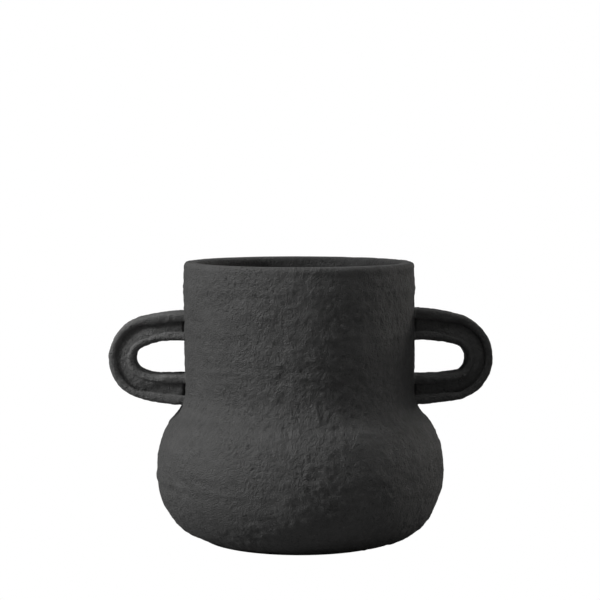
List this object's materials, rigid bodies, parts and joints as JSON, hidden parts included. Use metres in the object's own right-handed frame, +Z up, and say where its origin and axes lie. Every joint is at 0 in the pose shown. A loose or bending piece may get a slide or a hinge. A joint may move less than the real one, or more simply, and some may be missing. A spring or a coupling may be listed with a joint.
{
  "type": "two-handled vase",
  "caption": "Matte black stoneware vase with a straight wide neck, a low rounded belly and channelled strap handles at the neck.",
  "frame": {"origin": "centre of the foot ring, on the surface that the vase stands on", "axes": "+Z up the pot's axis, +X through the right handle, -Y the front"},
  "size_m": [0.2618, 0.1958, 0.19],
  "materials": {
    "black_stoneware": "matte black grogged stoneware, coarse and unglazed",
    "handle_stoneware": "matte black grogged stoneware, smoothed by hand",
    "luting_clay": "matte black stoneware, wiped smooth into the corner"
  },
  "bodies": {
    "root": {"vessel_body": "black_stoneware", "left_handle": "handle_stoneware", "right_handle": "handle_stoneware", "left_upper_luting": "luting_clay", "left_lower_luting": "luting_clay", "right_upper_luting": "luting_clay", "right_lower_luting": "luting_clay"}
  },
  "joints": []
}
